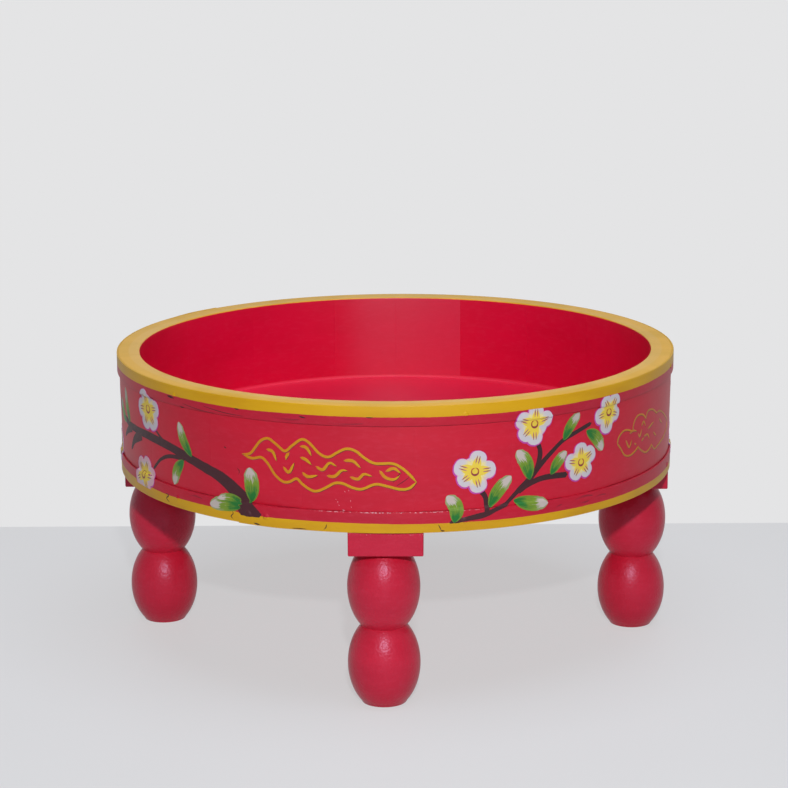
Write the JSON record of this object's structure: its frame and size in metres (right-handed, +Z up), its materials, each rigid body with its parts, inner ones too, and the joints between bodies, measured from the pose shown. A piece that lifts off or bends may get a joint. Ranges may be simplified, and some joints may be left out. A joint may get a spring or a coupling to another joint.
{
  "type": "low table",
  "caption": "Round low table: a coopered wooden tub with a raised rim and iron hoops, painted, on turned legs with square heads.",
  "frame": {"origin": "on the ground under the tub's axis, at the middle of the bounding box's bottom", "axes": "+Z up along the tub's axis, -Y to the front as pictured, +X to the picture's right"},
  "size_m": [0.6, 0.6, 0.313],
  "materials": {
    "wall_paint": "satin enamel over wood, rim and foot painted yellow",
    "hoop_paint": "satin enamel over iron strap, yellow and red",
    "floor_paint": "gloss enamel over wood",
    "leg_paint": "gloss enamel over turned wood",
    "corner_putty": "painted putty",
    "dowel_wood": "bare",
    "fastener_steel": "painted over",
    "screw_steel": "zinc plated"
  },
  "bodies": {
    "root": {"stave_01": "wall_paint", "stave_02": "wall_paint", "stave_03": "wall_paint", "stave_04": "wall_paint", "stave_05": "wall_paint", "stave_06": "wall_paint", "stave_07": "wall_paint", "stave_08": "wall_paint", "stave_09": "wall_paint", "stave_10": "wall_paint", "stave_11": "wall_paint", "stave_12": "wall_paint", "stave_13": "wall_paint", "stave_14": "wall_paint", "stave_15": "wall_paint", "stave_16": "wall_paint", "stave_17": "wall_paint", "stave_18": "wall_paint", "upper_hoop": "hoop_paint", "lower_hoop": "hoop_paint", "upper_hoop_nails": "fastener_steel", "lower_hoop_nails": "fastener_steel", "upper_hoop_rivets": "fastener_steel", "lower_hoop_rivets": "fastener_steel", "floor_board_1": "floor_paint", "floor_board_2": "floor_paint", "floor_board_3": "floor_paint", "floor_board_4": "floor_paint", "floor_dowels": "dowel_wood", "corner_bead": "corner_putty", "front_leg": "leg_paint", "right_leg": "leg_paint", "back_leg": "leg_paint", "left_leg": "leg_paint", "leg_screws": "screw_steel"}
  },
  "joints": []
}
